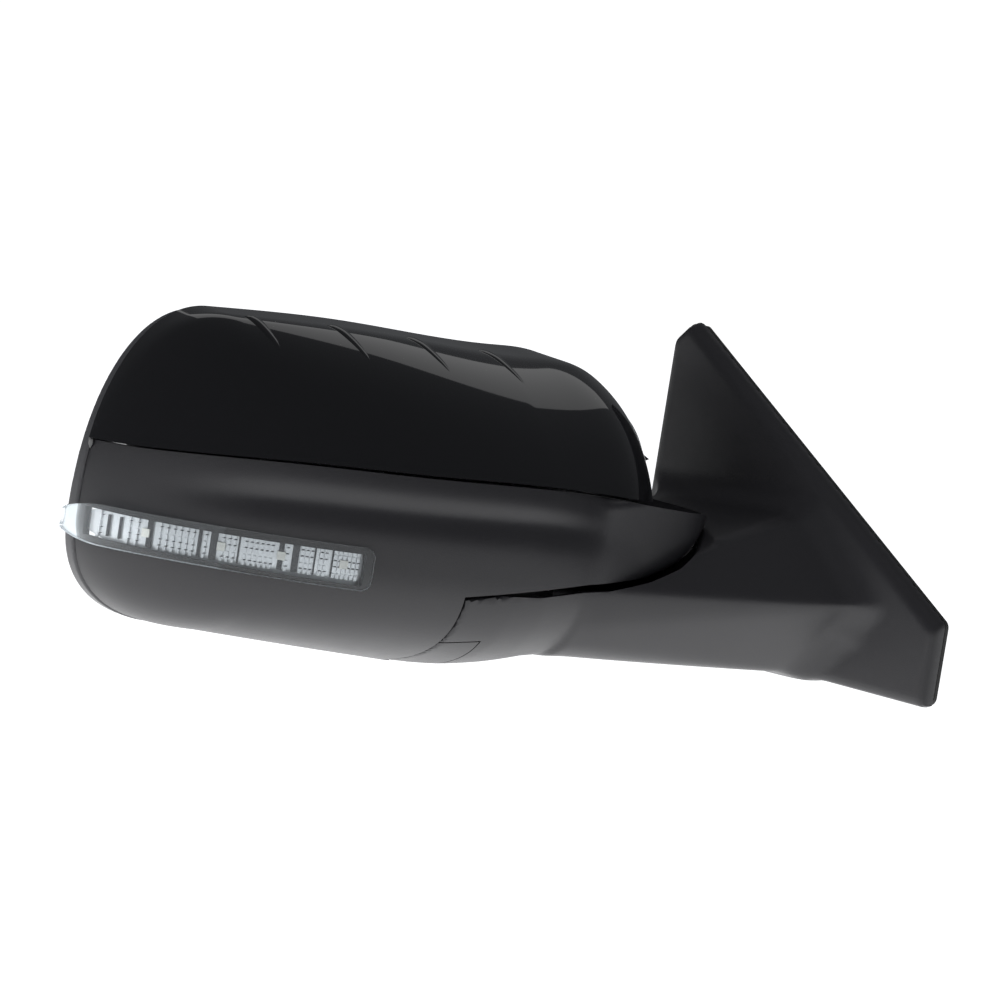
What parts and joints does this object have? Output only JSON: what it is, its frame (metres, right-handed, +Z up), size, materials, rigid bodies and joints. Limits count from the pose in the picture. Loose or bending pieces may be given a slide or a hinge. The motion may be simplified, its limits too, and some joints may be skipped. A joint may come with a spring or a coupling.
{
  "type": "car side mirror",
  "caption": "Right-hand power-fold car door mirror with a gloss black cap, textured housing, wrap-round turn signal lens, motor-tilted glass and a triangular sail base.",
  "frame": {"origin": "centre of the three-stud circle on the door face", "axes": "+X is the outward normal of the door face, towards the car; +Z up; -Y is the way the car drives, so the glass faces +Y"},
  "size_m": [0.3765, 0.2936, 0.195],
  "materials": {
    "cap_paint": "piano black",
    "housing_plastic": "fine grain",
    "bezel_plastic": "satin",
    "dark_plastic": "moulded",
    "lens_clear": "clear",
    "reflector_chrome": "vacuum metallised",
    "board_green": "solder mask",
    "led_resin": "amber resin",
    "cast_alloy": "die cast",
    "steel": "zinc plated",
    "acetal": "natural",
    "rubber_black": "moulded",
    "heater_foil": "printed foil",
    "mirror": "silvered"
  },
  "bodies": {
    "base": {"base_bracket": "cast_alloy", "sail_cover": "housing_plastic", "pivot_end_cover": "housing_plastic", "door_gasket": "rubber_black", "mounting_studs": "steel", "cover_screws": "steel", "harness_grommet": "rubber_black", "pivot_pin": "steel", "detent_ring": "steel", "spring_retainer": "steel"},
    "head": {"thrust_washer": "acetal", "fold_spring": "steel", "head_frame": "cast_alloy", "fold_motor": "steel", "fold_gearcase": "dark_plastic", "upper_cap": "cap_paint", "lower_housing": "housing_plastic", "rear_bezel": "bezel_plastic", "signal_lens": "lens_clear", "signal_reflector": "reflector_chrome", "signal_case": "dark_plastic", "led_board": "board_green", "signal_leds": "led_resin", "actuator_case": "dark_plastic", "actuator_cover": "dark_plastic", "tilt_motor": "steel", "pan_motor": "steel", "frame_screws": "steel", "actuator_screws": "steel", "housing_screws": "steel", "tilt_axle": "steel"},
    "gimbal": {"glass_gimbal": "acetal"},
    "glass": {"glass_holder": "dark_plastic", "heater_pad": "heater_foil", "mirror_glass": "mirror"},
    "tilt_screw": {"tilt_jack": "acetal"},
    "pan_screw": {"pan_jack": "acetal"}
  },
  "joints": [
    {"name": "fold", "type": "hinge", "parent": "base", "child": "head", "pos_m": [-0.13451, 0.04126, -0.0156], "axis": [0.1545, -0.0245, -0.9877], "range_deg": [0, 65]},
    {"name": "glass_tilt", "type": "hinge", "parent": "head", "child": "gimbal", "pos_m": [-0.20877, 0.09656, 0.01], "axis": [0.9877, -0.1564, 0], "range_deg": [-8, 8]},
    {"name": "glass_pan", "type": "hinge", "parent": "gimbal", "child": "glass", "pos_m": [-0.20877, 0.09656, 0.01], "axis": [0, 0, 1], "range_deg": [-5, 5]},
    {"name": "tilt_jack_slide", "type": "slide", "parent": "head", "child": "tilt_screw", "axis": [0.1564, 0.9877, 0], "range_m": [-0.0043, 0.0043]},
    {"name": "pan_jack_slide", "type": "slide", "parent": "head", "child": "pan_screw", "axis": [0.1564, 0.9877, 0], "range_m": [-0.0027, 0.0027]}
  ],
  "couplings": [
    {"joint": "tilt_jack_slide", "follows": "glass_tilt", "m_per_rad": -0.03},
    {"joint": "pan_jack_slide", "follows": "glass_pan", "m_per_rad": -0.03}
  ]
}
